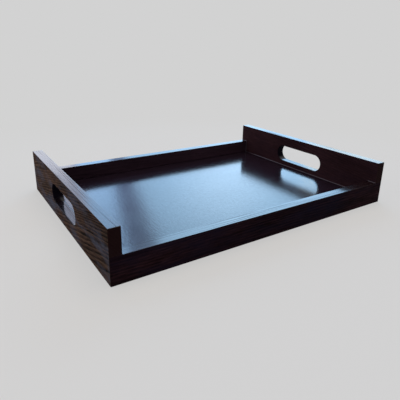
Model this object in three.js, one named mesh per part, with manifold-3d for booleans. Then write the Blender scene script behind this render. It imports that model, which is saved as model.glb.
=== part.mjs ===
// Serving tray: two tall end boards with hand slots, two low rails and a base panel.
// The lower corners are mitred, with the end boards' shoulders resting on the rails and a blind
// spline glued across each mitre. The base panel lies in a groove that runs round all four boards.
// Millimetres. X runs along the tray, Y from the front rail to the back rail, Z up.
// The origin is on the surface that the tray stands on, under its middle.

import * as THREE from 'three';
import { mergeVertices } from 'three/addons/utils/BufferGeometryUtils.js';
import Module from 'manifold-3d';

const wasm = await Module();
wasm.setup();

// Overall plan
const TRAY_LENGTH = 400;
const TRAY_WIDTH = 295;

// Boards
const END_HEIGHT = 58.5;
const END_THICKNESS = 12.7;
const RAIL_HEIGHT = 30;
const RAIL_THICKNESS = 12.7;
const ARRIS_RADIUS = 0.4;
const CORNER_RADIUS = 1;

// Hand slot
const SLOT_LENGTH = 95;
const SLOT_HEIGHT = 25.5;
const SLOT_TOP_MARGIN = 16;
const SLOT_ROUND_OVER = 1.2;

// Base panel and its groove
const BASE_THICKNESS = 5;
const BASE_LIFT = 4;
const GROOVE_DEPTH = 4;
const GROOVE_SLACK_ABOVE = 0.3;
const GROOVE_SLACK_AT_EDGE = 0.5;

// Corner joint
const MITRE_GLUE_LINE = 0.3;
const SPLINE_THICKNESS = 3;
const SPLINE_WIDTH = 8;
const SPLINE_STOP = 4;
const SPLINE_SLACK = 0.2;

// Steps that round edges are drawn in, and how far a cutter runs past the wood
const ARRIS_STEPS = 4;
const CORNER_STEPS = 4;
const SLOT_EDGE_STEPS = 4;
const SLOT_END_STEPS = 24;
const OVERRUN = 5;
const SLOT_OVERRUN = 0.02;

// Finishes: colours, and roughness from glossy to matt
const STAINED_BOARD = '#3a2b26';
const STAINED_PANEL = '#2c201f';
const BIRCH_PLY = '#c9a878';
const SATIN = 0.35;
const POLISHED = 0.22;
const SANDED = 0.8;

// Levels that several pieces share
const baseTop = BASE_LIFT + BASE_THICKNESS;
const splineBottom = baseTop + SPLINE_STOP;
const splineTop = RAIL_HEIGHT - SPLINE_STOP;
const mitreLength = Math.hypot(END_THICKNESS, RAIL_THICKNESS);

// An upright board's outline is drawn along the board and up, and extruded through it
const X = new THREE.Vector3(1, 0, 0);
const Y = new THREE.Vector3(0, 1, 0);
const Z = new THREE.Vector3(0, 0, 1);
const uprightAcross = new THREE.Matrix4().makeBasis(Y, Z, X);
const uprightAlong = new THREE.Matrix4().makeBasis(X, Z, Y.clone().negate());

// Each curve segment of an extruded outline draws an arc in two steps.
const arcSegments = (steps) => steps / 2;

// A closed geometry as a solid that can be cut.
function solid(geometry) {
  const bare = geometry.clone();
  bare.deleteAttribute('normal');
  bare.deleteAttribute('uv');
  const merged = mergeVertices(bare);
  return new wasm.Manifold(new wasm.Mesh({
    numProp: 3,
    vertProperties: new Float32Array(merged.attributes.position.array),
    triVerts: new Uint32Array(merged.index.array),
  }));
}

// The solid's surface, back as a geometry.
function surface(body) {
  const mesh = body.getMesh();
  const geometry = new THREE.BufferGeometry();
  geometry.setAttribute('position', new THREE.BufferAttribute(mesh.vertProperties, 3));
  geometry.setIndex(new THREE.BufferAttribute(mesh.triVerts, 1));
  geometry.computeVertexNormals();
  return geometry;
}

// A box between two corners.
function block(low, high) {
  const size = high.map((value, axis) => value - low[axis]);
  const middle = high.map((value, axis) => (value + low[axis]) / 2);
  return new THREE.BoxGeometry(...size).translate(...middle);
}

// A board's face: square to the sides, standing on its lower edge, with round corners.
function boardOutline(length, height) {
  const half = length / 2;
  const r = CORNER_RADIUS;
  const outline = new THREE.Shape();
  outline.absarc(half - r, r, r, -Math.PI / 2, 0);
  outline.absarc(half - r, height - r, r, 0, Math.PI / 2);
  outline.absarc(-half + r, height - r, r, Math.PI / 2, Math.PI);
  outline.absarc(-half + r, r, r, Math.PI, Math.PI * 1.5);
  outline.closePath();
  return outline;
}

// A board of the given thickness, with its arrises eased all round, centred on its own middle plane.
function easedBoard(outline, thickness, upright) {
  const depth = thickness - 2 * ARRIS_RADIUS;
  const geometry = new THREE.ExtrudeGeometry(outline, {
    depth,
    curveSegments: arcSegments(CORNER_STEPS),
    bevelThickness: ARRIS_RADIUS,
    bevelSize: ARRIS_RADIUS,
    bevelOffset: -ARRIS_RADIUS,
    bevelSegments: ARRIS_STEPS,
  });
  return geometry.translate(0, 0, -depth / 2).applyMatrix4(upright);
}

// The wood that the hand slot takes out: straight sides with round ends, and a mouth that flares
// at both faces, so that what is left of the board's edge is rounded over for the fingers.
function handSlotPlug() {
  const radius = SLOT_HEIGHT / 2;
  const reach = SLOT_LENGTH / 2 - radius;
  const middle = END_HEIGHT - SLOT_TOP_MARGIN - radius;
  const outline = new THREE.Shape();
  outline.absarc(reach, middle, radius, -Math.PI / 2, Math.PI / 2);
  outline.absarc(-reach, middle, radius, Math.PI / 2, Math.PI * 1.5);
  outline.closePath();
  const depth = END_THICKNESS + 2 * (SLOT_OVERRUN - SLOT_ROUND_OVER);
  const geometry = new THREE.ExtrudeGeometry(outline, {
    depth,
    curveSegments: arcSegments(SLOT_END_STEPS),
    bevelThickness: SLOT_ROUND_OVER,
    bevelSize: -SLOT_ROUND_OVER,
    bevelOffset: SLOT_ROUND_OVER,
    bevelSegments: SLOT_EDGE_STEPS,
  });
  return geometry.translate(0, 0, -depth / 2).applyMatrix4(uprightAcross);
}

// The wood outside a quarter round along a bar's upper edge. The edge is the X axis, the bar lies
// below it and towards -Y.
function arrisCutter(length) {
  const r = ARRIS_RADIUS;
  const outline = new THREE.Shape();
  outline.absarc(-r, -r, r, 0, Math.PI / 2);
  outline.lineTo(-r, OVERRUN);
  outline.lineTo(OVERRUN, OVERRUN);
  outline.lineTo(OVERRUN, -r);
  outline.closePath();
  const geometry = new THREE.ExtrudeGeometry(outline, {
    depth: length,
    curveSegments: arcSegments(ARRIS_STEPS),
    bevelEnabled: false,
  });
  return geometry.translate(0, 0, -length / 2).applyMatrix4(uprightAcross);
}

// Place of one lower corner's joint: midway along the mitre, with X' along it to the outer corner.
function cornerPlace(sideX, sideY) {
  const place = new THREE.Object3D();
  place.position.set(
    sideX * (TRAY_LENGTH - END_THICKNESS) / 2,
    sideY * (TRAY_WIDTH - RAIL_THICKNESS) / 2,
    (splineBottom + splineTop) / 2,
  );
  place.rotation.z = Math.atan2(sideY * RAIL_THICKNESS, sideX * END_THICKNESS);
  place.updateMatrix();
  return place;
}

// The wood on one side of a corner's mitre, cleared by half the glue line, up to the given level.
// Towards is 1 for the rail's side of the mitre and -1 for the end board's side.
function mitreWedge(sideX, sideY, towards, top) {
  const place = cornerPlace(sideX, sideY);
  const side = sideX * sideY * towards;
  const near = -side * MITRE_GLUE_LINE / 2;
  const far = side * mitreLength;
  const wedge = block(
    [-mitreLength / 2 - OVERRUN, Math.min(near, far), -OVERRUN - place.position.z],
    [mitreLength / 2 + OVERRUN, Math.max(near, far), top - place.position.z],
  );
  return wedge.applyMatrix4(place.matrix);
}

// The slot for a corner's spline, which spans the mitre.
function splineSlot(sideX, sideY) {
  const slot = new THREE.BoxGeometry(
    SPLINE_THICKNESS + 2 * SPLINE_SLACK,
    SPLINE_WIDTH + 2 * SPLINE_SLACK,
    splineTop - splineBottom + 2 * SPLINE_SLACK,
  );
  return slot.applyMatrix4(cornerPlace(sideX, sideY).matrix);
}

// Left end board: a tall eased board, slotted for the hand, with a shoulder over each rail.
function endBoardGeometry() {
  const outer = -TRAY_LENGTH / 2;
  const inner = outer + END_THICKNESS;
  const middle = (outer + inner) / 2;
  const outline = boardOutline(TRAY_WIDTH, END_HEIGHT);
  const blank = easedBoard(outline, END_THICKNESS, uprightAcross).translate(middle, 0, 0);
  const halfRun = TRAY_WIDTH / 2 + OVERRUN;
  const groove = block(
    [inner - GROOVE_DEPTH, -halfRun, BASE_LIFT],
    [inner + OVERRUN, halfRun, baseTop + GROOVE_SLACK_ABOVE],
  );
  let board = solid(blank).subtract(solid(handSlotPlug().translate(middle, 0, 0)));
  board = board.subtract(solid(groove));
  for (const sideY of [-1, 1]) {
    board = board.subtract(solid(mitreWedge(-1, sideY, 1, RAIL_HEIGHT)));
    board = board.subtract(solid(splineSlot(-1, sideY)));
  }
  return surface(board);
}

// Front rail: an eased board planed flat on top, with its top arrises eased again between the end
// boards only, so that it meets their shoulders with square edges.
function railGeometry() {
  const outer = -TRAY_WIDTH / 2;
  const inner = outer + RAIL_THICKNESS;
  const middle = (outer + inner) / 2;
  const outline = boardOutline(TRAY_LENGTH, RAIL_HEIGHT + OVERRUN);
  const blank = easedBoard(outline, RAIL_THICKNESS, uprightAlong).translate(0, middle, 0);
  const halfRun = TRAY_LENGTH / 2 + OVERRUN;
  const planed = block(
    [-halfRun, outer - OVERRUN, RAIL_HEIGHT],
    [halfRun, inner + OVERRUN, RAIL_HEIGHT + 2 * OVERRUN],
  );
  const groove = block(
    [-halfRun, inner - GROOVE_DEPTH, BASE_LIFT],
    [halfRun, inner + OVERRUN, baseTop + GROOVE_SLACK_ABOVE],
  );
  const innerArris = arrisCutter(TRAY_LENGTH - 2 * END_THICKNESS);
  const outerArris = innerArris.clone().rotateZ(Math.PI);
  let rail = solid(blank).subtract(solid(planed)).subtract(solid(groove));
  rail = rail.subtract(solid(innerArris.translate(0, inner, RAIL_HEIGHT)));
  rail = rail.subtract(solid(outerArris.translate(0, outer, RAIL_HEIGHT)));
  for (const sideX of [-1, 1]) {
    rail = rail.subtract(solid(mitreWedge(sideX, -1, -1, RAIL_HEIGHT + OVERRUN)));
    rail = rail.subtract(solid(splineSlot(sideX, -1)));
  }
  return surface(rail);
}

// Base panel: lies on the grooves' lower faces, with room at its edges to swell.
function basePanelGeometry() {
  const held = GROOVE_DEPTH - GROOVE_SLACK_AT_EDGE;
  const halfLength = TRAY_LENGTH / 2 - END_THICKNESS + held;
  const halfWidth = TRAY_WIDTH / 2 - RAIL_THICKNESS + held;
  return block([-halfLength, -halfWidth, BASE_LIFT], [halfLength, halfWidth, baseTop]);
}

// Spline: a thin feather that lies across the mitre, half of it in each board.
function splineGeometry() {
  return new THREE.BoxGeometry(SPLINE_THICKNESS, SPLINE_WIDTH, splineTop - splineBottom);
}

// One named piece of the tray with its own finish.
function piece(name, geometry, color, roughness) {
  const material = new THREE.MeshStandardMaterial({ color, roughness, metalness: 0 });
  const mesh = new THREE.Mesh(geometry, material);
  mesh.name = name;
  return mesh;
}

const tray = new THREE.Group();

const endBoard = endBoardGeometry();
const leftEndBoard = piece('left_end_board', endBoard, STAINED_BOARD, SATIN);
const rightEndBoard = piece('right_end_board', endBoard, STAINED_BOARD, SATIN);
rightEndBoard.rotation.z = Math.PI;
tray.add(leftEndBoard, rightEndBoard);

const rail = railGeometry();
const frontRail = piece('front_rail', rail, STAINED_BOARD, SATIN);
const backRail = piece('back_rail', rail, STAINED_BOARD, SATIN);
backRail.rotation.z = Math.PI;
tray.add(frontRail, backRail);

tray.add(piece('base_panel', basePanelGeometry(), STAINED_PANEL, POLISHED));

const spline = splineGeometry();
const sidesX = { left: -1, right: 1 };
const sidesY = { front: -1, back: 1 };
for (const [nameY, sideY] of Object.entries(sidesY)) {
  for (const [nameX, sideX] of Object.entries(sidesX)) {
    const feather = piece(`${nameY}_${nameX}_spline`, spline, BIRCH_PLY, SANDED);
    const place = cornerPlace(sideX, sideY);
    feather.position.copy(place.position);
    feather.rotation.copy(place.rotation);
    tray.add(feather);
  }
}

export default tray;
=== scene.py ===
# %% [markdown]
# A dark serving tray: two tall end boards with hand slots, two low rails, and a polished base
# panel held in grooves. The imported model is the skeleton. Loading it first gives every later step
# the real places and sizes, so nothing has to be fitted by eye afterwards.

# %% Load the frame
import math

import bpy
import numpy as np
from mathutils import Matrix, Vector


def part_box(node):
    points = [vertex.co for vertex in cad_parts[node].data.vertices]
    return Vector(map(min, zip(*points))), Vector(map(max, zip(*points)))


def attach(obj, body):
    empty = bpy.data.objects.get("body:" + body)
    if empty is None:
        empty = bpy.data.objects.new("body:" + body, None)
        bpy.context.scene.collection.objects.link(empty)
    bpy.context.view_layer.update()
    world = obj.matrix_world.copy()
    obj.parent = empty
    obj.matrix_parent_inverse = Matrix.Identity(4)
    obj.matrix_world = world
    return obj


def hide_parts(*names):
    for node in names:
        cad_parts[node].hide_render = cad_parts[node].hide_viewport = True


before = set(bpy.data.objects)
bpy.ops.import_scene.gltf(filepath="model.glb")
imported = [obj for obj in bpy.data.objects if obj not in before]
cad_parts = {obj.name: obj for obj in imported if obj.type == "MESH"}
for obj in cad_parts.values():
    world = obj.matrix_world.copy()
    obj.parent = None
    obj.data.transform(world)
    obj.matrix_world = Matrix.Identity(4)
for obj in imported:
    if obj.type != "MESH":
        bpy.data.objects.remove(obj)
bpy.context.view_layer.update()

print("CAD nodes:", sorted(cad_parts))

# %% [markdown]
# The boards' sizes are read off the frame, so the dressed tray can't drift from the solid one.
# A bounding box doesn't tell how an edge is eased or how a slot is cut, so those few sizes are
# written here, in millimetres, as a joiner would note them.

# %% Sizes of the boards and their edges
MM = 0.001
END_LOW, END_HIGH = (np.array(corner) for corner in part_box("left_end_board"))
RAIL_LOW, RAIL_HIGH = (np.array(corner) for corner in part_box("front_rail"))
BASE_LOW, BASE_HIGH = (np.array(corner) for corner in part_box("base_panel"))
HALF_LENGTH = -END_LOW[0]
HALF_WIDTH = -END_LOW[1]
END_THICKNESS, _, END_HEIGHT = END_HIGH - END_LOW
_, RAIL_THICKNESS, RAIL_HEIGHT = RAIL_HIGH - RAIL_LOW
BASE_TOP = BASE_HIGH[2]

ARRIS_RADIUS = 0.4 * MM
CORNER_RADIUS = 1 * MM
SLOT_LENGTH = 95 * MM
SLOT_HEIGHT = 25.5 * MM
SLOT_TOP_MARGIN = 16 * MM
SLOT_ROUND_OVER = 1.2 * MM
GROOVE_DEPTH = 4 * MM
GROOVE_SLACK = 0.3 * MM
MITRE_GLUE_LINE = 0.3 * MM

SLOT_RADIUS = SLOT_HEIGHT / 2
SLOT_REACH = SLOT_LENGTH / 2 - SLOT_RADIUS
SLOT_MIDDLE = END_HEIGHT - SLOT_TOP_MARGIN - SLOT_RADIUS
print("tray", np.round(2e3 * np.array([HALF_LENGTH, HALF_WIDTH, END_HEIGHT / 2]), 1), "mm")

# %% [markdown]
# The camera comes early, because every later choice is judged through it. It stands off the
# front left corner, a little above the tray. The picture's centre of perspective lies above its
# middle, as in a picture trimmed after it was taken, and the lens shift repeats that.

# %% Camera
IMAGE_PX = 400
FOCAL_PX = 403.8
PERSPECTIVE_CENTRE_PX = (202.5, 174.5)
CAMERA_PLACE = Vector((-307.1, -454.3, 215.1)) * MM
CAMERA_HEADING = math.radians(33.73)
CAMERA_DIP = math.radians(18.48)
CAMERA_ROLL = math.radians(1.09)
SENSOR_WIDTH = 36

ahead = Vector((
    math.sin(CAMERA_HEADING) * math.cos(CAMERA_DIP),
    math.cos(CAMERA_HEADING) * math.cos(CAMERA_DIP),
    -math.sin(CAMERA_DIP),
))
camera_data = bpy.data.cameras.new("camera")
camera_data.sensor_width = SENSOR_WIDTH
camera_data.lens = FOCAL_PX / IMAGE_PX * SENSOR_WIDTH
camera_data.shift_x = (IMAGE_PX / 2 - PERSPECTIVE_CENTRE_PX[0]) / IMAGE_PX
camera_data.shift_y = (PERSPECTIVE_CENTRE_PX[1] - IMAGE_PX / 2) / IMAGE_PX
camera_data.clip_start = 0.01
camera = bpy.data.objects.new("camera", camera_data)
turn = ahead.to_track_quat("-Z", "Y").to_matrix() @ Matrix.Rotation(CAMERA_ROLL, 3, "Z")
camera.matrix_world = Matrix.Translation(CAMERA_PLACE) @ turn.to_4x4()
bpy.context.scene.collection.objects.link(camera)
bpy.context.scene.camera = camera
print("lens", round(camera_data.lens, 2), "mm")

# %% [markdown]
# Every wooden piece is a closed skin. A grid of points, worked out by a formula, is joined into
# four-sided faces, and where the grid doesn't close on itself its two ends are capped. The sign
# of the enclosed volume tells whether the faces point out, so no piece can end up inside out.

# %% Grids of points into closed meshes
def grid_faces(rows, columns, wrap_rows):
    """Faces of a grid that always closes across its columns, and across its rows if asked.

    Face (i, j) joins points (i, j), (i + 1, j), (i + 1, j + 1) and (i, j + 1)."""
    index = np.arange(rows * columns).reshape(rows, columns)
    index = np.hstack([index, index[:, :1]])
    if wrap_rows:
        index = np.vstack([index, index[:1]])
    corners = [index[:-1, :-1], index[1:, :-1], index[1:, 1:], index[:-1, 1:]]
    return np.stack(corners, axis=-1).reshape(-1, 4)


def enclosed_volume(points, quads):
    """Sum over the faces of the pyramid from the origin: a . (b x c) / 6 for each half face."""
    a, b, c, d = (points[quads[:, k]] for k in range(4))
    halves = np.sum(a * np.cross(b, c), axis=1) + np.sum(a * np.cross(c, d), axis=1)
    return halves.sum() / 6


def closed_mesh(name, grid, wrap_rows=False):
    """A mesh object from a grid of points (rows, columns, 3), with capped ends unless it wraps."""
    rows, columns, _ = grid.shape
    points = grid.reshape(-1, 3)
    quads = grid_faces(rows, columns, wrap_rows)
    first = np.arange(columns)
    last = np.arange(columns)[::-1] + (rows - 1) * columns
    caps = [] if wrap_rows else [first, last]
    fans = [np.stack([np.full(columns, c[0]), c, np.roll(c, -1), np.roll(c, -1)], 1) for c in caps]
    if enclosed_volume(points, np.vstack([quads, *fans])) < 0:
        quads = quads[:, ::-1]
        caps = [cap[::-1] for cap in caps]
    mesh = bpy.data.meshes.new(name)
    mesh.from_pydata(points.tolist(), [], quads.tolist() + [cap.tolist() for cap in caps])
    mesh.update()
    piece = bpy.data.objects.new(name, mesh)
    bpy.context.scene.collection.objects.link(piece)
    return piece


print("a wrapped grid of 3 by 4 points has", len(grid_faces(3, 4, True)), "faces")

# %% [markdown]
# A groove, a mitre or a shoulder is sawn out of the finished board, as on the bench. The saw cut
# is a block, and Blender's exact Boolean takes it away. The block is thrown away afterwards, and
# the cut is applied, so that a plain mesh is left.

# %% Saw cuts
SIGNS = np.stack(np.meshgrid([-1, 1], [-1, 1], [-1, 1], indexing="ij"), axis=-1).reshape(-1, 3)
BLOCK_GRID = np.array([[0, 1, 3, 2], [4, 5, 7, 6]])


def block(low, high, turn=0.0, place=(0, 0, 0)):
    """A box between two corners, turned about Z and then moved to its place."""
    low, high = np.array(low), np.array(high)
    corners = (low + high) / 2 + SIGNS * (high - low) / 2
    spin = np.array(Matrix.Rotation(turn, 3, "Z"))
    corners = corners @ spin.T + np.array(place)
    return closed_mesh("saw_cut", corners[BLOCK_GRID])


def saw(piece, cuts):
    """Takes the blocks out of the piece, one after another, and applies each cut."""
    for cut in cuts:
        boolean = piece.modifiers.new("saw", "BOOLEAN")
        boolean.operation = "DIFFERENCE"
        boolean.solver = "EXACT"
        boolean.object = cut
        depsgraph = bpy.context.evaluated_depsgraph_get()
        sawn = bpy.data.meshes.new_from_object(piece.evaluated_get(depsgraph))
        piece.modifiers.clear()
        whole = piece.data
        piece.data = sawn
        bpy.data.meshes.remove(whole)
        bpy.data.objects.remove(cut)
    piece.data.name = piece.name


print("a saw cut is a block with", len(SIGNS), "corners")

# %% [markdown]
# The lower corners are mitred, with the end board's shoulder over the rail. Both boards lose a
# wedge along the same diagonal and keep half of the glue line between them. One function makes
# the wedge for either side, so the two faces of the joint always match.

# %% Mitre cuts at the lower corners
OVERRUN = 5 * MM
SPLINE_SLACK = 0.2 * MM
MITRE_LENGTH = math.hypot(END_THICKNESS, RAIL_THICKNESS)
SPLINE_NODES = {(x, y): f"{'back' if y > 0 else 'front'}_{'right' if x > 0 else 'left'}_spline"
                for x in (-1, 1) for y in (-1, 1)}
SPLINE_SECTION = np.array([3, 8]) * MM


def corner_place(side_x, side_y):
    """Midway along a corner's mitre, and the mitre's direction, outwards."""
    place = (side_x * (HALF_LENGTH - END_THICKNESS / 2), side_y * (HALF_WIDTH - RAIL_THICKNESS / 2), 0)
    return place, math.atan2(side_y * RAIL_THICKNESS, side_x * END_THICKNESS)


def mitre_wedge(side_x, side_y, towards, top):
    """The wood on one side of a mitre: towards is 1 for the rail's side, -1 for the end board's."""
    place, turn = corner_place(side_x, side_y)
    side = side_x * side_y * towards
    across = sorted([-side * MITRE_GLUE_LINE / 2, side * MITRE_LENGTH])
    reach = MITRE_LENGTH / 2 + OVERRUN
    return block((-reach, across[0], -OVERRUN), (reach, across[1], top), turn, place)


def spline_slot(side_x, side_y):
    """The mortise for a corner's spline: the spline's own box and a little slack."""
    place, turn = corner_place(side_x, side_y)
    low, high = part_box(SPLINE_NODES[side_x, side_y])
    half = SPLINE_SECTION / 2 + SPLINE_SLACK
    return block((*-half, low[2] - SPLINE_SLACK), (*half, high[2] + SPLINE_SLACK), turn, place)


print(len(SPLINE_NODES), "mitres,", round(MITRE_LENGTH / MM, 2), "mm long")

# %% [markdown]
# An end board is one closed ring of wood around its hand slot. So its skin is a grid that wraps
# both ways: along the board's outline, and through its section, from the slot's wall over the
# round-over, across the face, round the eased arris, over the edge and back on the other face.
# A box with a hole cut in it would do, but this way the soft edges are true curves. The arris is
# eased by hand with paper, so its radius wanders a little along the board.

# %% Outlines of an end board and its slot
CORNER_STEPS = 6
SIDE_STEP = 3 * MM
ARRIS_WANDER = 0.18
WANDER_TURNS = np.arange(3, 12)


def board_outline(half, height, radius):
    """Rounded rectangle as points and outward normals, from the lower right corner upwards.

    Each corner is a quarter circle, and each side a straight run of even steps."""
    centres = np.array([
        [half - radius, radius],
        [half - radius, height - radius],
        [radius - half, height - radius],
        [radius - half, radius],
    ])
    angle = np.linspace(-90, 0, CORNER_STEPS + 1) + np.arange(0, 360, 90)[:, None]
    normal = np.stack([np.cos(np.radians(angle)), np.sin(np.radians(angle))], axis=-1)
    arc = centres[:, None] + radius * normal
    points, normals = [], []
    for side in range(4):
        start, end = arc[side, -1], arc[(side + 1) % 4, 0]
        steps = max(2, round(np.linalg.norm(end - start) / SIDE_STEP))
        share = np.linspace(0, 1, steps + 1)[1:-1, None]
        points += [arc[side], start + share * (end - start)]
        normals += [normal[side], np.broadcast_to(normal[side, -1], (steps - 1, 2))]
    return np.vstack(points), np.vstack(normals)


def slot_outline(towards):
    """Where rays from the slot's middle meet its rim, and the rim's outward normals there.

    A ray leaves by a straight side, at the slot's radius above or below its middle, or else by
    a round end, where its distance from the end's centre is the radius."""
    direction = towards / np.linalg.norm(towards, axis=1, keepdims=True)
    with np.errstate(divide="ignore"):
        straight = SLOT_RADIUS / np.abs(direction[:, 1])
    along = np.abs(direction[:, 0]) * SLOT_REACH
    curved = along + np.sqrt(np.maximum(along**2 - SLOT_REACH**2 + SLOT_RADIUS**2, 0))
    by_side = straight * np.abs(direction[:, 0]) <= SLOT_REACH
    rim = direction * np.where(by_side, straight, curved)[:, None]
    spine = np.stack([np.clip(rim[:, 0], -SLOT_REACH, SLOT_REACH), np.zeros(len(rim))], axis=1)
    return rim, (rim - spine) / SLOT_RADIUS


def wander(count, seed):
    """A smooth closed wave from -1 to 1: a few sines of whole turns with drawn phases."""
    phase = np.random.default_rng(seed).uniform(0, 2 * np.pi, len(WANDER_TURNS))
    around = np.linspace(0, 2 * np.pi, count, endpoint=False)
    wave = np.sin(around[:, None] * WANDER_TURNS + phase).sum(axis=1)
    return wave / np.abs(wave).max()


print("outline of", len(board_outline(HALF_WIDTH, END_HEIGHT, CORNER_RADIUS)[0]), "points")

# %% [markdown]
# The skin follows the section round the board. On the faces a row is a blend of the slot's rim and
# the outline, and on the round-over and the arris it is one of the two, moved along its normals.
# The second face is the first one mirrored, so both sides of the board are eased alike.

# %% Skin of an end board
EASE_STEPS = 6
FACE_STEPS = 7
WALL_STEPS = 4


def end_board_grid(side_x, seed):
    """Rows run through the section, columns run along the outline.

    A row is the slot's rim moved out, the outline moved in, or a mix of both, at one depth."""
    outline, out = board_outline(HALF_WIDTH, END_HEIGHT, CORNER_RADIUS)
    middle = np.array([0, SLOT_MIDDLE])
    rim, away = slot_outline(outline - middle)
    rim = rim + middle
    arris = ARRIS_RADIUS * (1 + ARRIS_WANDER * wander(len(outline), seed))[:, None]
    over = SLOT_ROUND_OVER
    quarter = np.linspace(0, np.pi / 2, EASE_STEPS + 1)[:, None, None]
    across = np.linspace(0, 1, FACE_STEPS + 1)[1:-1, None, None]
    half = END_THICKNESS / 2

    wall_depth = np.linspace(over - half, half - over, WALL_STEPS + 1)[:, None, None]
    wall = rim + 0 * wall_depth
    round_over = rim + away * over * (1 - np.cos(quarter))
    round_depth = half - over * (1 - np.sin(quarter))
    face = (rim + away * over) * (1 - across) + (outline - out * arris) * across
    ease = outline - out * arris * (1 - np.sin(quarter))
    ease_depth = half - arris * (1 - np.cos(quarter))

    inner_plan = np.concatenate([round_over[1:], face, ease])
    inner_depth = np.concatenate([
        np.broadcast_to(round_depth[1:], (EASE_STEPS, len(outline), 1)),
        np.full((FACE_STEPS - 1, len(outline), 1), half),
        ease_depth,
    ])
    plan = np.concatenate([wall, inner_plan, inner_plan[::-1]])
    depth = np.concatenate([
        np.broadcast_to(wall_depth, (WALL_STEPS + 1, len(outline), 1)),
        inner_depth,
        -inner_depth[::-1],
    ])
    place = side_x * (HALF_LENGTH - half)
    return np.concatenate([depth + place, plan], axis=-1)


print("rows, columns and axes of the grid:", end_board_grid(-1, 0).shape)

# %% [markdown]
# Both end boards come from this one function. They only have seeds of their own, because two edges
# eased by hand are never twins. Then each board goes to the saw, for the base panel's groove, the
# mitres up to the rails' height, and the mortises for the splines.

# %% Both end boards, grooved, mitred and mortised
END_SEEDS = {"left": 3, "right": 8}
wood = {}
for side, side_x in (("left", -1), ("right", 1)):
    board = closed_mesh(f"{side}_end_board_wood", end_board_grid(side_x, END_SEEDS[side]), True)
    inner = side_x * (HALF_LENGTH - END_THICKNESS)
    groove_x = sorted([inner + side_x * GROOVE_DEPTH, inner - side_x * OVERRUN])
    run = HALF_WIDTH + OVERRUN
    cuts = [block((groove_x[0], -run, BASE_LOW[2]), (groove_x[1], run, BASE_TOP + GROOVE_SLACK))]
    for side_y in (-1, 1):
        cuts += [mitre_wedge(side_x, side_y, 1, RAIL_HEIGHT), spline_slot(side_x, side_y)]
    saw(board, cuts)
    wood[f"{side}_end_board"] = board
    print(board.name, len(board.data.polygons), "faces")

# %% [markdown]
# A rail is a straight moulding, so its section is drawn once and carried along the tray. The top
# arrises are eased only between the end boards, because the shoulders sit on square edges, and
# the ends are eased like the end boards' arrises, so that the corner is one soft line.

# %% Section of a rail, carried along the tray
RAIL_STATIONS = 96
FLAT_STEPS = 5
RAIL_END_STEPS = 3
EASE_RUN_OUT = 0.05 * MM


def rail_section(top_ease):
    """The rail's section as points (depth from the outer face, height), outer face first.

    Four eased corners joined by straight runs, with the base panel's groove in the inner face."""
    t, h, r = RAIL_THICKNESS, RAIL_HEIGHT, ARRIS_RADIUS
    quarter = np.linspace(0, np.pi / 2, EASE_STEPS + 1)
    sine, cosine = np.sin(quarter), np.cos(quarter)
    share = np.linspace(0, 1, FLAT_STEPS + 1)[1:-1]
    lower_outer = np.stack([r * (1 - sine), r * (1 - cosine)], axis=1)
    upper_outer = np.stack([top_ease * (1 - cosine), h - top_ease * (1 - sine)], axis=1)
    upper_inner = np.stack([t - top_ease * (1 - sine), h - top_ease * (1 - cosine)], axis=1)
    lower_inner = np.stack([t - r * (1 - cosine), r * (1 - sine)], axis=1)
    outer = np.stack([0 * share, r + share * (h - top_ease - r)], axis=1)
    top = np.stack([top_ease + share * (t - 2 * top_ease), 0 * share + h], axis=1)
    groove = np.array([
        [t, BASE_TOP + GROOVE_SLACK],
        [t - GROOVE_DEPTH, BASE_TOP + GROOVE_SLACK],
        [t - GROOVE_DEPTH, BASE_LOW[2]],
        [t, BASE_LOW[2]],
    ])
    return np.vstack([lower_outer, outer, upper_outer, top, upper_inner, groove, lower_inner])


def rail_grid(side_y, seed):
    """Rows are stations along X, columns go round the section.

    The top ease grows from nothing to its full radius just inside the end boards. At the ends a
    quarter round draws the section in on three sides."""
    inner_x = HALF_LENGTH - END_THICKNESS
    quarter = np.linspace(0, np.pi / 2, RAIL_END_STEPS + 1)
    end_x = HALF_LENGTH - ARRIS_RADIUS * (1 - np.sin(quarter))
    end_inset = ARRIS_RADIUS * (1 - np.cos(quarter))
    between = np.linspace(0, inner_x - EASE_RUN_OUT, RAIL_STATIONS // 2)
    half_x = np.concatenate([between, [inner_x], end_x])
    half_ease = np.concatenate([np.full(len(between), ARRIS_RADIUS), np.zeros(1 + len(end_x))])
    half_inset = np.concatenate([np.zeros(len(between) + 1), end_inset])
    x = np.concatenate([-half_x[:0:-1], half_x])
    ease = np.concatenate([half_ease[:0:-1], half_ease])
    inset = np.concatenate([half_inset[:0:-1], half_inset])[:, None]
    ease = ease * (1 + ARRIS_WANDER * wander(len(x), seed))
    square, eased = rail_section(0.0), rail_section(ARRIS_RADIUS)
    section = square + (eased - square) * (ease / ARRIS_RADIUS)[:, None, None]
    depth = np.clip(section[..., 0], inset, RAIL_THICKNESS - inset)
    height = np.maximum(section[..., 1], inset)
    y = side_y * (HALF_WIDTH - depth)
    return np.stack([np.broadcast_to(x[:, None], y.shape), y, height], axis=-1)


print("rows, columns and axes of the grid:", rail_grid(-1, 0).shape)

# %% [markdown]
# The rails get the other face of each mitre. Their wedges reach past the top, because a rail is
# mitred over its whole height, and the end board's shoulder then sits on it.

# %% Both rails, mitred and mortised
RAIL_SEEDS = {"front": 5, "back": 11}
for side, side_y in (("front", -1), ("back", 1)):
    rail = closed_mesh(f"{side}_rail_wood", rail_grid(side_y, RAIL_SEEDS[side]))
    cuts = []
    for side_x in (-1, 1):
        cuts += [mitre_wedge(side_x, side_y, -1, RAIL_HEIGHT + OVERRUN), spline_slot(side_x, side_y)]
    saw(rail, cuts)
    wood[f"{side}_rail"] = rail
    print(rail.name, len(rail.data.polygons), "faces")

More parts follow.
